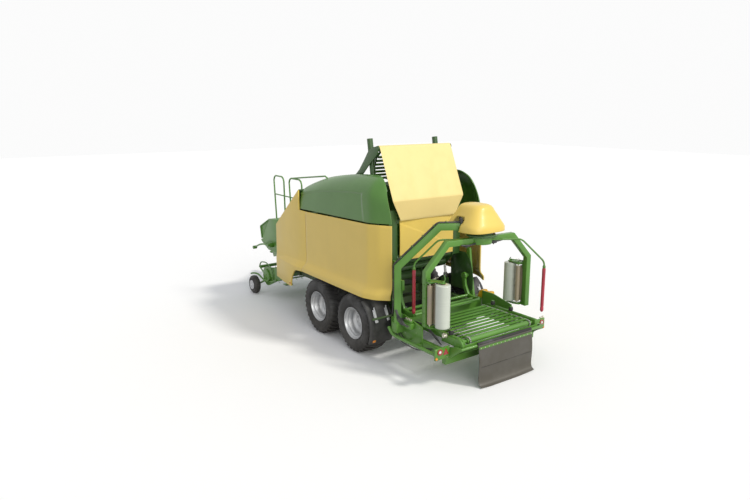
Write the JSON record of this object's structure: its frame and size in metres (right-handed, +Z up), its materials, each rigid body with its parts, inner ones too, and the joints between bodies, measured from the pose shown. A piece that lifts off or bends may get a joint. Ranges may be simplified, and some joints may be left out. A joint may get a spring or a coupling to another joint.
{
  "type": "bale wrapper",
  "caption": "Towed round baler with a twin-arm wrapping rotor over a tilting bale table behind it, on tandem wheels, with side doors, a tine pick-up and a drawbar.",
  "frame": {"origin": "on the ground, at the middle of the machine's length and width", "axes": "+Y forward along the drawbar, +X to the machine's right, +Z up"},
  "size_m": [2.9114, 9.0845, 3.9645],
  "materials": {
    "cream_paint": "gloss",
    "green_paint": "gloss",
    "dark_green_paint": "satin",
    "black_rubber": "matte",
    "grey_rubber": "matte",
    "black_plastic": "matte",
    "silver_paint": "satin",
    "bright_steel": "gloss",
    "yellow_plastic": "gloss",
    "cream_fabric": "matte",
    "white_film": "gloss",
    "black_hose": "matte",
    "red_paint": "gloss"
  },
  "bodies": {
    "chassis": {"main_frame": "dark_green_paint", "tandem_axle": "dark_green_paint", "mudguard_left": "black_plastic", "mudguard_right": "black_plastic", "drawbar": "green_paint", "gearbox": "dark_green_paint", "bale_chamber": "dark_green_paint", "slat_elevator": "green_paint", "front_panel_left": "cream_paint", "front_panel_right": "cream_paint", "top_cover_left": "green_paint", "top_cover_right": "green_paint", "net_box": "green_paint", "hand_rails": "green_paint", "wrap_frame": "green_paint", "gantry": "dark_green_paint", "gantry_hoses": "black_hose", "rotor_hood": "cream_paint", "wheel_chocks": "yellow_plastic", "side_guard_left": "green_paint", "side_guard_right": "green_paint", "drop_mat": "grey_rubber"},
    "wheel_rear_left": {"tyre_rear_left": "black_rubber", "rim_rear_left": "silver_paint"},
    "wheel_rear_right": {"tyre_rear_right": "black_rubber", "rim_rear_right": "silver_paint"},
    "wheel_front_left": {"tyre_front_left": "black_rubber", "rim_front_left": "silver_paint"},
    "wheel_front_right": {"tyre_front_right": "black_rubber", "rim_front_right": "silver_paint"},
    "side_door_left": {"side_panel_left": "cream_paint"},
    "side_door_right": {"side_panel_right": "cream_paint"},
    "net_lid": {"net_lid_panel": "green_paint"},
    "jack": {"jack_leg": "green_paint"},
    "pickup": {"pickup_frame": "green_paint"},
    "pickup_reel": {"tine_reel": "green_paint"},
    "gauge_left": {"gauge_wheel_left": "black_rubber"},
    "gauge_right": {"gauge_wheel_right": "black_rubber"},
    "tailgate": {"tailgate_frame": "dark_green_paint", "rear_door": "cream_paint", "curtain": "cream_fabric", "tension_frame": "dark_green_paint"},
    "tension_barrel_left": {"cylinder_barrel_left": "dark_green_paint"},
    "tension_rod_left": {"cylinder_rod_left": "bright_steel"},
    "tension_barrel_right": {"cylinder_barrel_right": "dark_green_paint"},
    "tension_rod_right": {"cylinder_rod_right": "bright_steel"},
    "lifter": {"bale_lifter": "green_paint"},
    "table": {"table_frame": "green_paint", "table_conveyor": "green_paint"},
    "rotor": {"wrap_arms": "green_paint", "film_stretcher_near": "green_paint", "film_stretcher_far": "green_paint", "safety_bar_near": "red_paint", "safety_bar_far": "red_paint"},
    "film_near": {"film_roll_near": "white_film"},
    "film_far": {"film_roll_far": "white_film"}
  },
  "joints": [
    {"name": "wheel_rear_left_spin", "type": "hinge", "parent": "chassis", "child": "wheel_rear_left", "pos_m": [-1.2, -1.8615, 0.57], "axis": [1, 0, 0], "continuous": true},
    {"name": "wheel_rear_right_spin", "type": "hinge", "parent": "chassis", "child": "wheel_rear_right", "pos_m": [1.2, -1.8615, 0.57], "axis": [1, 0, 0], "continuous": true},
    {"name": "wheel_front_left_spin", "type": "hinge", "parent": "chassis", "child": "wheel_front_left", "pos_m": [-1.2, -0.5615, 0.57], "axis": [1, 0, 0], "continuous": true},
    {"name": "wheel_front_right_spin", "type": "hinge", "parent": "chassis", "child": "wheel_front_right", "pos_m": [1.2, -0.5615, 0.57], "axis": [1, 0, 0], "continuous": true},
    {"name": "side_door_left_lift", "type": "hinge", "parent": "chassis", "child": "side_door_left", "pos_m": [-1.3, -1.8615, 2.5], "axis": [0, 1, 0], "range_deg": [0, 70]},
    {"name": "side_door_right_lift", "type": "hinge", "parent": "chassis", "child": "side_door_right", "pos_m": [1.3, -1.8615, 2.5], "axis": [0, -1, 0], "range_deg": [0, 70]},
    {"name": "net_lid_lift", "type": "hinge", "parent": "chassis", "child": "net_lid", "pos_m": [0, 2.1785, 1.98], "axis": [1, 0, 0], "range_deg": [0, 80]},
    {"name": "jack_fold", "type": "hinge", "parent": "chassis", "child": "jack", "pos_m": [-0.235, 3.1385, 1.025], "axis": [1, 0, 0], "range_deg": [0, 90]},
    {"name": "pickup_lift", "type": "hinge", "parent": "chassis", "child": "pickup", "pos_m": [0, 1.4685, 0.8], "axis": [1, 0, 0], "range_deg": [0, 12]},
    {"name": "pickup_reel_spin", "type": "hinge", "parent": "pickup", "child": "pickup_reel", "pos_m": [0, 2.5585, 0.49], "axis": [1, 0, 0], "continuous": true},
    {"name": "gauge_left_spin", "type": "hinge", "parent": "pickup", "child": "gauge_left", "pos_m": [-1.25, 2.9385, 0.225], "axis": [1, 0, 0], "continuous": true},
    {"name": "gauge_right_spin", "type": "hinge", "parent": "pickup", "child": "gauge_right", "pos_m": [1.25, 2.9385, 0.225], "axis": [1, 0, 0], "continuous": true},
    {"name": "tailgate_lift", "type": "hinge", "parent": "chassis", "child": "tailgate", "pos_m": [0, -0.8615, 3], "axis": [-1, 0, 0], "range_deg": [0, 50]},
    {"name": "tension_barrel_left_swing", "type": "hinge", "parent": "tailgate", "child": "tension_barrel_left", "pos_m": [-0.785, -1.6015, 3.63], "axis": [-1, 0, 0], "range_deg": [-37, 0]},
    {"name": "tension_rod_left_stroke", "type": "slide", "parent": "tension_barrel_left", "child": "tension_rod_left", "axis": [0, -0.1465, -0.9892], "range_m": [0, 0.53]},
    {"name": "tension_barrel_right_swing", "type": "hinge", "parent": "tailgate", "child": "tension_barrel_right", "pos_m": [0.785, -1.6015, 3.63], "axis": [-1, 0, 0], "range_deg": [-37, 0]},
    {"name": "tension_rod_right_stroke", "type": "slide", "parent": "tension_barrel_right", "child": "tension_rod_right", "axis": [0, -0.1465, -0.9892], "range_m": [0, 0.53]},
    {"name": "lifter_raise", "type": "hinge", "parent": "chassis", "child": "lifter", "pos_m": [0, -2.5015, 1.28], "axis": [-1, 0, 0], "range_deg": [0, 55]},
    {"name": "table_tilt", "type": "hinge", "parent": "chassis", "child": "table", "pos_m": [0, -3.1615, 0.68], "axis": [1, 0, 0], "range_deg": [0, 8]},
    {"name": "rotor_spin", "type": "hinge", "parent": "chassis", "child": "rotor", "pos_m": [0, -3.7315, 2.31], "axis": [0, 0, 1], "continuous": true},
    {"name": "film_near_spin", "type": "hinge", "parent": "rotor", "child": "film_near", "pos_m": [-1.0208, -3.9503, 0.985], "axis": [0, 0, 1], "continuous": true},
    {"name": "film_far_spin", "type": "hinge", "parent": "rotor", "child": "film_far", "pos_m": [1.0208, -3.5127, 0.985], "axis": [0, 0, 1], "continuous": true}
  ],
  "couplings": [
    {"joint": "tension_barrel_left_swing", "follows": "tailgate_lift", "ratio": -0.733},
    {"joint": "tension_rod_left_stroke", "follows": "tailgate_lift", "m_per_rad": 0.605},
    {"joint": "tension_barrel_right_swing", "follows": "tailgate_lift", "ratio": -0.733},
    {"joint": "tension_rod_right_stroke", "follows": "tailgate_lift", "m_per_rad": 0.605}
  ]
}
